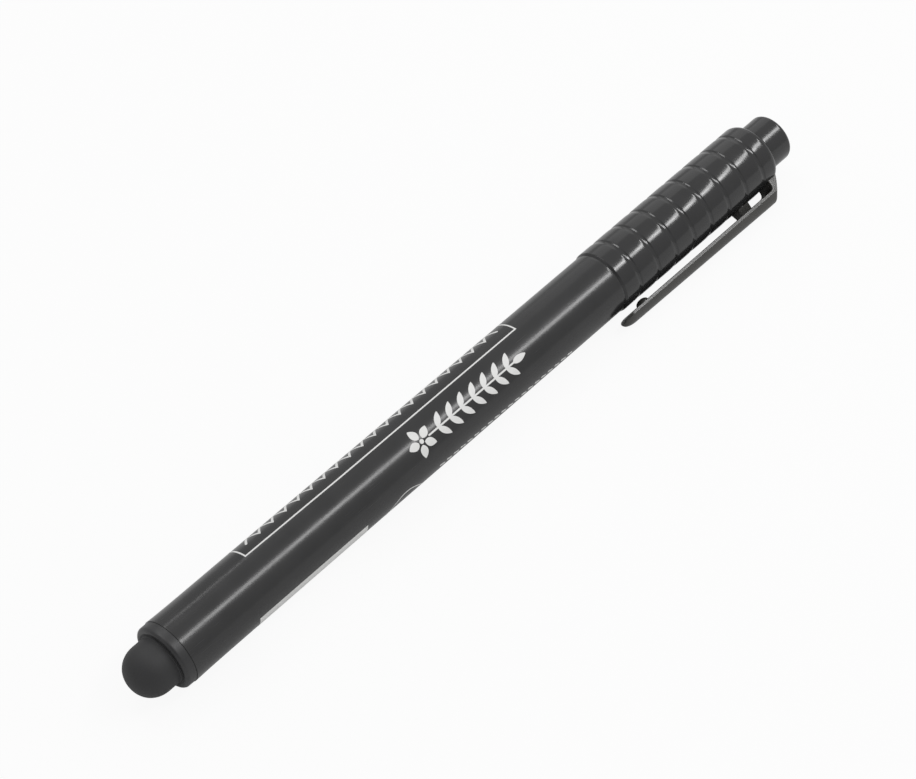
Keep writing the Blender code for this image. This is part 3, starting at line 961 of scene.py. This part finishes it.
@dataclass
class PocketClip(SubAssembly):
    """The pocket clip: half-round bar, nub, post and the arm that grows out of the crown."""

    drop: float = 121.2
    half: float = 2.09
    inner: float = 6.53
    thickness: float = 1.88
    side: float = 0.54
    tip_taper: float = 0.3
    tip: float = -1.68
    lead_in: float = 2.2
    bend: float = 33.0
    bar_steps: int = 24
    crown_steps: int = 12
    nub_station: float = 3.45
    nub_radius: float = 1.12
    nub_height: float = 0.66
    nub_sink: float = 0.02
    post_low: float = 27.65
    post_high: float = 30.0
    post_setback: float = 1.5
    post_foot: float = 5.4
    post_draft: float = 0.28
    post_inset: float = 0.06
    post_bite: float = 0.4
    arm_steps: int = 4
    arm: tuple[tuple[Point, Point, Point], ...] = (
        ((32.9, 6.53), (33.0, 7.07), (33.1, 8.41)),
        ((33.45, 6.53), (33.55, 7.07), (33.75, 8.41)),
        ((33.82, 6.49), (34.05, 7.07), (34.25, 8.39)),
        ((34.05, 6.4), (34.45, 7.07), (34.52, 8.2)),
        ((34.2, 6.28), (34.7, 7.05), (34.72, 7.82)),
        ((34.3, 6.15), (34.9, 6.87), (34.93, 7.3)),
        ((34.4, 5.95), (35.14, 6.6), (35.25, 6.78)),
        ((34.47, 5.63), (35.52, 6.16), (35.63, 6.26)),
        ((34.5, 5.1), (35.97, 5.6), (36.07, 5.68)),
        ((34.5, 4.6), (36.4, 4.95), (36.5, 5.02)),
        ((34.5, 4.2), (36.75, 4.35), (36.85, 4.4)),
        ((34.5, 3.5), (36.75, 3.55), (36.85, 3.6)),
    )

    def build(self) -> Iterable[Piece]:
        """Make and dress the clip."""
        clip = self.bar()
        for part in (self.nub(), self.post()):
            self.join(clip, part)
        yield self.fit(clip, "clip", "clip_plastic", CLIP_GREY)

    def at(self, station: float, radius: float, across: float) -> Vector:
        """Point of the clip in the scene.

        Args:
            station: Where it is along the marker.
            radius: Distance from the marker's axis in the clip's own plane.
            across: Distance from that plane, towards the top of the cap.

        Returns:
            The point, in metres.
        """
        angle = math.radians(self.drop)
        middle = self.axis.point(station, radius, angle)
        return middle + across * MM * Vector((0.0, math.cos(angle), math.sin(angle)))

    def sections(self) -> list[ClipSection]:
        """Sections from the tip along the bar, round the bend and into the crown."""
        lead_end = self.tip + self.lead_in
        share = self.side / self.thickness
        result = []
        for turn in reversed(quarter(steps=16)[:-1]):
            station = lead_end - self.lead_in * math.sin(turn)
            full = self.thickness - self.tip_taper
            low = self.inner + full / 2 * (1 - math.cos(turn))
            high = low + full * math.cos(turn)
            off = max(0.0, self.tip + self.half - station)
            half = math.sqrt(self.half**2 - off**2)
            edge = low + (high - low) * share
            result.append(ClipSection((station, low), (station, edge), (station, high), half))
        for step in range(1, self.bar_steps):
            station = lead_end + (self.bend - lead_end) * step / self.bar_steps
            high = self.inner + self.thickness - self.tip_taper * (1 - step / self.bar_steps)
            edge = self.inner + (high - self.inner) * share
            result.append(ClipSection((station, self.inner), (station, edge), (station, high), self.half))
        return result + self.smooth_arm()

    def smooth_arm(self) -> list[ClipSection]:
        """The arm's guide sections with smooth steps between them."""
        rows = [(*inner, *edge, *crown) for inner, edge, crown in self.arm]
        result = []
        for index in range(len(rows) - 1):
            near = [rows[max(0, min(len(rows) - 1, index + k))] for k in (-1, 0, 1, 2)]
            for step in range(self.arm_steps):
                share = step / self.arm_steps
                row = [self.spline(share, *values) for values in zip(*near)]
                result.append(ClipSection(tuple(row[:2]), tuple(row[2:4]), tuple(row[4:]), self.half))
        return [*result, ClipSection(*self.arm[-1], self.half)]

    @staticmethod
    def spline(share: float, before: float, start: float, end: float, after: float) -> float:
        """Smooth value between two guide values.

        Args:
            share: Share of the way from start to end.
            before: Guide value ahead of start.
            start: First guide value.
            end: Second guide value.
            after: Guide value that follows end.

        Returns:
            The value, on a curve through all the guides.
        """
        slope = (end - before) / 2
        bend = before - 2.5 * start + 2 * end - after / 2
        twist = (after - before) / 2 + 1.5 * (start - end)
        return start + share * (slope + share * (bend + share * twist))

    def half_round(self) -> list[Point]:
        """Outline of the bar's section: across it and up from its inner face."""
        shares = [1 - step / self.crown_steps for step in range(1, 2 * self.crown_steps)]
        rise = self.thickness - self.side
        crown = [(self.half * share, self.thickness - rise * share**2, 0.0) for share in shares]
        corners = [
            (-self.half, self.side, 0.1),
            (-self.half, 0.0, 0.2),
            (self.half, 0.0, 0.12),
            (self.half, self.side, 0.0),
        ]
        return supported(rounded([*corners, *crown], closed=True), closed=True, edge=0.06, run=0.4)

    def bar(self) -> Piece:
        """Skin over all the sections, closed at the tip and inside the crown."""
        shape = bmesh.new()
        outline = self.half_round()
        tip_radius = self.inner + (self.thickness - self.tip_taper) / 2
        rings = [[shape.verts.new(self.at(self.tip, tip_radius, 0.0))]]
        for section in self.sections():
            ring = []
            for across, height in outline:
                if height <= self.side:
                    low, high, share = section.inner, section.edge, height / self.side
                else:
                    low, high = section.edge, section.crown
                    share = (height - self.side) / (self.thickness - self.side)
                middle = between(low, high, share)
                ring.append(shape.verts.new(self.at(*middle, across * section.half / self.half)))
            rings.append(ring)
        sheath(shape, rings, closed=False)
        shape.faces.new(rings[-1])
        return as_object("pocket_clip_bar", shape)

    def nub(self) -> Piece:
        """Low round button under the bar, which grips the cloth of a pocket."""
        shape = bmesh.new()
        bmesh.ops.create_uvsphere(shape, u_segments=48, v_segments=24, radius=1.0)
        for vertex in shape.verts:
            along, across, rise = vertex.co
            station = self.nub_station + along * self.nub_radius
            radius = self.inner + self.nub_sink - rise * self.nub_height
            vertex.co = self.at(station, radius, across * self.nub_radius)
        return as_object("clip_nub", shape)

    def post(self) -> Piece:
        """Square post under the bar that sits on the cap."""
        top = self.inner + self.post_bite
        corners = [
            (self.post_low, self.post_foot, 0.12),
            (self.post_high, self.post_foot, 0.12),
            (self.post_high, top, 0.05),
            (self.post_low, top, 0.05),
        ]
        shape = bmesh.new()
        outline = rounded(corners, closed=True)
        rings = []
        for side, reach in ((-1.0, self.half - self.post_inset), (1.0, self.half - self.post_setback)):
            ring = []
            for station, radius in outline:
                across = reach - self.post_draft * (radius - self.post_foot)
                ring.append(shape.verts.new(self.at(station, radius, side * across)))
            rings.append(ring)
        skin(shape, *rings)
        for ring in rings:
            shape.faces.new(ring)
        return as_object("clip_post", shape)

    @staticmethod
    def join(piece: Piece, part: Piece) -> None:
        """Weld a part onto a piece.

        Args:
            piece: The piece, which keeps its name.
            part: The part, which is removed.
        """
        weld = piece.modifiers.new("weld", "BOOLEAN")
        weld.operation = "UNION"
        weld.solver = "EXACT"
        weld.object = part
        shape = piece.evaluated_get(bpy.context.evaluated_depsgraph_get())
        mesh = bpy.data.meshes.new_from_object(shape)
        piece.modifiers.clear()
        piece.data = mesh
        shade(mesh)
        bpy.data.objects.remove(part)


@dataclass(frozen=True)
class Leaf:
    """Shape of a leaf or petal.

    Attributes:
        start: Distance from its foot at which it begins.
        length: Its length.
        half: Half of its largest width.
    """

    start: float
    length: float
    half: float


PETAL = Leaf(start=0.55, length=2.0, half=0.66)
LEAF = Leaf(start=0.0, length=2.55, half=0.52)
BUD = Leaf(start=0.0, length=2.7, half=0.55)


@dataclass
class BarrelPrint(SubAssembly):
    """White printing on the barrel: stitched frame, sprig, write-on block, row of dashes and bow.

    Its angles are in degrees from a line along the barrel that lies the facing angle from the top
    towards the front. Ends are pairs of stations, sides are pairs of angles, and a half is half the
    width of a stroke.
    """

    barrel: Barrel
    facing: float = 32.2
    station: float = -40.0
    film: float = 0.018
    keyed: float = 0.03
    longest_run: float = 1.0
    longest_turn: float = 2.0
    columns: float = 6.0
    plain_half: float = 2.0
    frame_corners: tuple[Point, ...] = (
        (-75.7, -40.4),
        (-57.0, -37.7),
        (-18.8, -37.0),
        (-18.8, -112.0),
        (-75.7, -112.0),
    )
    frame_half: float = 0.13
    stitch_ends: Point = (-73.8, -20.6)
    stitch_sides: Point = (-62.0, -84.0)
    stitch_count: int = 40
    stitch_half: float = 0.2
    middle: float = 5.5
    stem_ends: Point = (-41.8, -23.2)
    stem_half: float = 0.14
    blossom: float = -43.4
    petal_count: int = 5
    eye_ends: Point = (-43.42, -43.38)
    eye_half: float = 0.36
    first_leaf: float = -39.9
    leaf_pitch: float = 2.5
    leaf_pairs: int = 7
    leaf_lean: float = 52.0
    leaf_steps: int = 12
    leaf_tip: float = 0.03
    leaf_set: float = 0.85
    leaf_fullness: float = 0.8
    bud: float = -23.4
    block_middle: float = -68.45
    block_sides: Point = (62.0, 114.0)
    block_half: float = 11.05
    first_dash: float = -41.8
    dash_pitch: float = 1.5
    dash_count: int = 20
    dash_length: float = 0.8
    dash_sides: Point = (71.0, 74.0)
    dash_half: float = 0.2
    bow_ends: Point = (-53.2, -45.2)
    bow_sides: Point = (88.0, 62.0)
    bow_steps: int = 32
    bow_half: float = 0.1

    def build(self) -> Iterable[Piece]:
        """Print all the motifs as one thin piece on the barrel."""
        shape = bmesh.new()
        for path, half, stroke in self.strokes():
            self.lay(shape, path, half, stroke)
        piece = as_object("barrel_print", shape, sharp=60.0)
        piece.data.materials.append(WHITE_INK.material())
        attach(piece, "barrel")
        yield piece

    def strokes(self) -> Iterable[tuple[list[Point], Widths, Stroke]]:
        """Every stroke: path of stations and degrees, half width or widths, and ends."""
        yield self.path([*self.frame_corners, self.frame_corners[0]])[:-1], self.frame_half, Stroke.LOOP
        yield self.zigzag(), self.stitch_half, Stroke.ROUND
        yield from self.sprig()
        block = self.path([(self.block_middle, side) for side in self.block_sides])
        yield block, self.block_half, Stroke.BUTT
        for index in range(self.dash_count):
            start = self.first_dash + index * self.dash_pitch
            ends = (start, start + self.dash_length)
            yield self.path(list(zip(ends, self.dash_sides))), self.dash_half, Stroke.ROUND
        yield self.bow(), self.bow_half, Stroke.ROUND

    def sprig(self) -> Iterable[tuple[list[Point], Widths, Stroke]]:
        """Strokes of the stem, the blossom behind it, its pairs of leaves and its bud."""
        yield self.path([(station, self.middle) for station in self.stem_ends]), self.stem_half, Stroke.ROUND
        for index in range(self.petal_count):
            yield *self.leaf(PETAL, self.blossom, 360.0 / self.petal_count * (index + 0.5)), Stroke.BUTT
        yield [(station, self.middle) for station in self.eye_ends], self.eye_half, Stroke.ROUND
        for index in range(self.leaf_pairs):
            for heading in (-self.leaf_lean, self.leaf_lean):
                yield *self.leaf(LEAF, self.first_leaf + self.leaf_pitch * index, heading), Stroke.BUTT
        yield *self.leaf(BUD, self.bud, 0.0), Stroke.BUTT

    @property
    def arc(self) -> float:
        """Length of one degree round the barrel."""
        return math.radians(1.0) * self.barrel.skin(self.station)

    def path(self, points: Sequence[Point]) -> list[Point]:
        """Straight runs between points, in steps short enough to follow the barrel."""
        result = [points[0]]
        for start, end in zip(points, points[1:]):
            runs = abs(end[0] - start[0]) / self.longest_run
            turns = abs(end[1] - start[1]) / self.longest_turn
            steps = max(1, math.ceil(max(runs, turns)))
            result += [between(start, end, step / steps) for step in range(1, steps + 1)]
        return result

    def zigzag(self) -> list[Point]:
        """Row of slanted stitches from side to side."""
        rear, front = self.stitch_ends
        step = (front - rear) / self.stitch_count
        stations = [rear + index * step for index in range(self.stitch_count + 1)]
        return self.path([(station, self.stitch_sides[index % 2]) for index, station in enumerate(stations)])

    def leaf(self, leaf: Leaf, foot: float, heading: float) -> tuple[list[Point], list[float]]:
        """One leaf or petal as a path with its half widths.

        Args:
            leaf: Its shape.
            foot: Station of its foot on the stem.
            heading: Degrees that it leans from the marker's front end.

        Returns:
            Stations and degrees along its middle, and half of its width at each.
        """
        lean = math.radians(heading)
        points, widths = [], []
        for step in range(self.leaf_steps + 1):
            share = step / self.leaf_steps
            reach = leaf.start + leaf.length * share
            swell = math.sin(math.pi * share**self.leaf_set) ** self.leaf_fullness
            points.append((foot + reach * math.cos(lean), self.middle + reach * math.sin(lean) / self.arc))
            widths.append(self.leaf_tip + (leaf.half - self.leaf_tip) * swell)
        return points, widths

    def bow(self) -> list[Point]:
        """Shallow bow between two stations."""
        (rear, front), (low, high) = self.bow_ends, self.bow_sides
        shares = [step / self.bow_steps for step in range(self.bow_steps + 1)]
        angles = [low + (high - low) * 4 * share * (1 - share) for share in shares]
        return [(rear + (front - rear) * share, angle) for share, angle in zip(shares, angles)]

    def lay(self, shape: Shape, path: list[Point], half: Widths, stroke: Stroke) -> None:
        """Lay one stroke on the barrel as a closed film.

        Args:
            shape: Shape that the stroke is added to.
            path: Stations and degrees along its middle.
            half: Half of its width, or one such value for each point of the path.
            stroke: How it ends.
        """
        arc = self.arc
        flat = [Vector((station, degrees * arc)) for station, degrees in path]
        widths = [half] * len(flat) if isinstance(half, float) else list(half)
        if stroke is Stroke.ROUND:
            flat, widths = self.round_ends(flat, half)
        count = len(flat)
        closed = stroke is Stroke.LOOP
        columns = math.ceil(max(widths) * self.columns) if max(widths) < self.plain_half else 1
        spread = [1.0 - 2.0 * column / columns for column in range(columns + 1)]
        rings = []
        for index, here in enumerate(flat):
            before = flat[index - 1] if index or closed else here
            after = flat[(index + 1) % count] if index < count - 1 or closed else here
            side = self.mitre(here - before, after - here) * widths[index]
            top = [(here + side * share, self.film) for share in spread]
            bottom = [(here + side * share, -self.keyed) for share in reversed(spread)]
            ring = []
            for (station, run), level in top + bottom:
                angle = math.radians(self.facing + run / arc)
                radius = self.barrel.skin(station) + level
                ring.append(shape.verts.new(self.axis.point(station, radius, angle)))
            rings.append(ring)
        sheath(shape, rings, closed)
        if not closed:
            shape.faces.new(rings[0])
            shape.faces.new(rings[-1])

    @staticmethod
    def mitre(before: Vector, after: Vector) -> Vector:
        """Sideways direction of a path at one of its points.

        Args:
            before: Step that leads to the point.
            after: Step that leads on from it.

        Returns:
            A unit, or up to twice that where the path turns.
        """
        first = before.normalized() if before.length else after.normalized()
        second = after.normalized() if after.length else before.normalized()
        middle = (first + second).normalized()
        return Vector((-middle.y, middle.x)) / max(0.5, middle.dot(first))

    @staticmethod
    def round_ends(flat: Sequence[Vector], half: float) -> tuple[list[Vector], list[float]]:
        """Round off both ends of a stroke.

        Args:
            flat: Its path on the unrolled barrel.
            half: Half of its width.

        Returns:
            The longer path, and half of the width at each of its points.
        """
        turns = quarter(steps=6)[1:-1]
        lead = (flat[0] - flat[1]).normalized() * half
        trail = (flat[-1] - flat[-2]).normalized() * half
        opening = [(flat[0] + lead * math.cos(a), half * math.sin(a)) for a in turns]
        closing = [(flat[-1] + trail * math.cos(a), half * math.sin(a)) for a in reversed(turns)]
        rows = [*opening, *((point, half) for point in flat), *closing]
        return [row[0] for row in rows], [row[1] for row in rows]


# Studio


def posed(right: Vector, up: Vector, place: Vector) -> Matrix:
    """Matrix of an object at a place, with its first two axes along right and up."""
    return Matrix.Translation(place) @ Matrix((right, up, right.cross(up))).transposed().to_4x4()


@dataclass(frozen=True)
class Softbox:
    """Flat lamp that hangs over the marker and runs along it, in metres.

    Attributes:
        name: Name of the lamp.
        rear: Where its rear end is: along the marker, and degrees from overhead towards the front.
        front: The same for its front end.
        reach: Distance from the marker.
        width: Width of its face.
        radiance: Brightness of its face, where 1 is white.
    """

    name: str
    rear: Point
    front: Point
    reach: float
    width: float
    radiance: float

    def end(self, along: float, tilt: float) -> Vector:
        """One end of the lamp, in the scene."""
        lean = math.radians(tilt)
        return Vector((along, -self.reach * math.sin(lean), self.reach * math.cos(lean)))

    def hang(self) -> None:
        """Put the lamp into the scene, with its face to the marker."""
        rear, front = self.end(*self.rear), self.end(*self.front)
        run = front - rear
        middle = (rear + front) / 2
        across = Vector((0.0, middle.y, middle.z)).cross(run).normalized()
        lamp = bpy.data.lights.new(self.name, "AREA")
        lamp.shape = "RECTANGLE"
        lamp.size = run.length
        lamp.size_y = self.width
        lamp.energy = self.radiance * math.pi * run.length * self.width
        box = bpy.data.objects.new(self.name, lamp)
        box.matrix_world = posed(run.normalized(), across, middle)
        box.visible_camera = False
        bpy.context.scene.collection.objects.link(box)


SOFTBOXES = (
    Softbox("key_strip", (0.08, 27.0), (0.45, 29.0), reach=0.62, width=0.095, radiance=9.6),
    Softbox("key_strip_front", (0.4, 27.5), (0.66, 5.0), reach=0.62, width=0.1, radiance=11.0),
    Softbox("back_box", (0.47, -55.0), (1.2, -55.0), reach=0.8, width=0.6, radiance=0.42),
    Softbox("back_strip", (0.1, -42.0), (0.24, -42.0), reach=0.7, width=0.05, radiance=4.0),
    Softbox("back_lamp", (-0.06, -27.0), (0.11, -27.0), reach=0.7, width=0.24, radiance=4.5),
)


@dataclass
class Studio:
    """Camera, floor, lamps and world round the marker, in metres.

    The floor's glow and sheen are the shares of plain white in what the camera and mirrored rays
    see of it. The walls light the marker at the ambient level. Mirrored, they run from horizon to
    zenith and are darkened by the flag round the way to the camera.
    """

    lens: float = 117.904
    sensor: float = 36.0
    eye: Triple = (-0.205028, -0.211655, 0.346586)
    right: Triple = (0.678665, -0.732333, -0.055700)
    up: Triple = (0.579524, 0.487376, 0.653159)
    floor_half: float = 3.0
    floor_drop: float = 0.00002
    floor_colour: Colour = (0.62, 0.62, 0.62)
    floor_glow: float = 0.92
    floor_sheen: float = 0.08
    ambient: float = 0.74
    horizon: float = 0.49
    zenith: float = 0.71
    flag: float = 0.75
    flag_edge: Point = (0.78, 0.97)

    def build(self) -> None:
        """Set up everything that isn't the marker."""
        bpy.context.scene.view_settings.view_transform = "Standard"
        self.camera()
        self.floor()
        self.world()
        for box in SOFTBOXES:
            box.hang()

    def camera(self) -> None:
        """Camera at the photograph's place and angle."""
        lens = bpy.data.cameras.new("camera")
        lens.lens = self.lens
        lens.sensor_width = self.sensor
        lens.clip_start = 0.01
        camera = bpy.data.objects.new("camera", lens)
        camera.matrix_world = posed(Vector(self.right), Vector(self.up), Vector(self.eye))
        bpy.context.scene.collection.objects.link(camera)
        bpy.context.scene.camera = camera

    @staticmethod
    def rays(graph: Graph) -> tuple[Field, Field, Field]:
        """Flags of the rays from the camera, mirrored rays and rays through glass."""
        path = graph.node("ShaderNodeLightPath")
        names = ("Is Camera Ray", "Is Glossy Ray", "Is Transmission Ray")
        return tuple(Field(graph, path.outputs[name]) for name in names)

    def floor(self) -> None:
        """Plain pale floor that keeps a soft shadow of the marker."""
        shape = bmesh.new()
        reach = self.floor_half
        corners = ((-reach, -reach), (reach, -reach), (reach, reach), (-reach, reach))
        shape.faces.new([shape.verts.new((x, y, -self.floor_drop)) for x, y in corners])
        floor = as_object("studio_floor", shape)
        material = bpy.data.materials.new("studio_pale_floor")
        graph = Graph(material)
        camera, glossy, through = self.rays(graph)
        matte = graph.read("ShaderNodeBsdfDiffuse", 0, None, {"Color": (*self.floor_colour, 1.0)})
        white = graph.read("ShaderNodeEmission", 0, None, {"Color": WHITE, "Strength": 1.0})
        share = (camera + through) * self.floor_glow + glossy * self.floor_sheen
        mixed = graph.read("ShaderNodeMixShader", 0, None, {0: share, 1: matte, 2: white})
        graph.node("ShaderNodeOutputMaterial", None, {"Surface": mixed})
        floor.data.materials.append(material)

    def world(self) -> None:
        """Soft studio walls: white to the camera, and in mirrors darker low down and behind the lens."""
        world = bpy.data.worlds.new("studio_world")
        graph = Graph(world)
        camera, glossy, through = self.rays(graph)
        way = graph.read("ShaderNodeTexCoord", "Generated")
        height = graph.read("ShaderNodeSeparateXYZ", "Z", None, {0: way}).above(0.0, 1.0)
        sockets = {0: way, 1: Vector(self.eye).normalized()}
        towards = graph.read("ShaderNodeVectorMath", "Value", {"operation": "DOT_PRODUCT"}, sockets)
        walls = self.horizon + height * (self.zenith - self.horizon)
        walls = walls * (1.0 - towards.above(*self.flag_edge) * self.flag)
        level = self.ambient + (camera + through) * (1.0 - self.ambient) + glossy * (walls - self.ambient)
        light = graph.read("ShaderNodeBackground", 0, None, {"Color": WHITE, "Strength": level})
        graph.node("ShaderNodeOutputWorld", None, {"Surface": light})
        bpy.context.scene.world = world


def main() -> None:
    """Build the studio and every sub-assembly, and report each piece."""
    logging.basicConfig(level=logging.INFO, format="%(message)s")
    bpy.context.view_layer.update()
    Studio().build()
    axis = PenAxis.from_frame()
    barrel = Barrel(axis)
    for assembly in (barrel, WritingEnd(axis), Cap(axis), PocketClip(axis), BarrelPrint(axis, barrel)):
        for piece in assembly.build():
            log.info("%s: %s, %d faces", type(assembly).__name__, piece.name, len(piece.data.polygons))


if __name__ == "__main__":
    main()
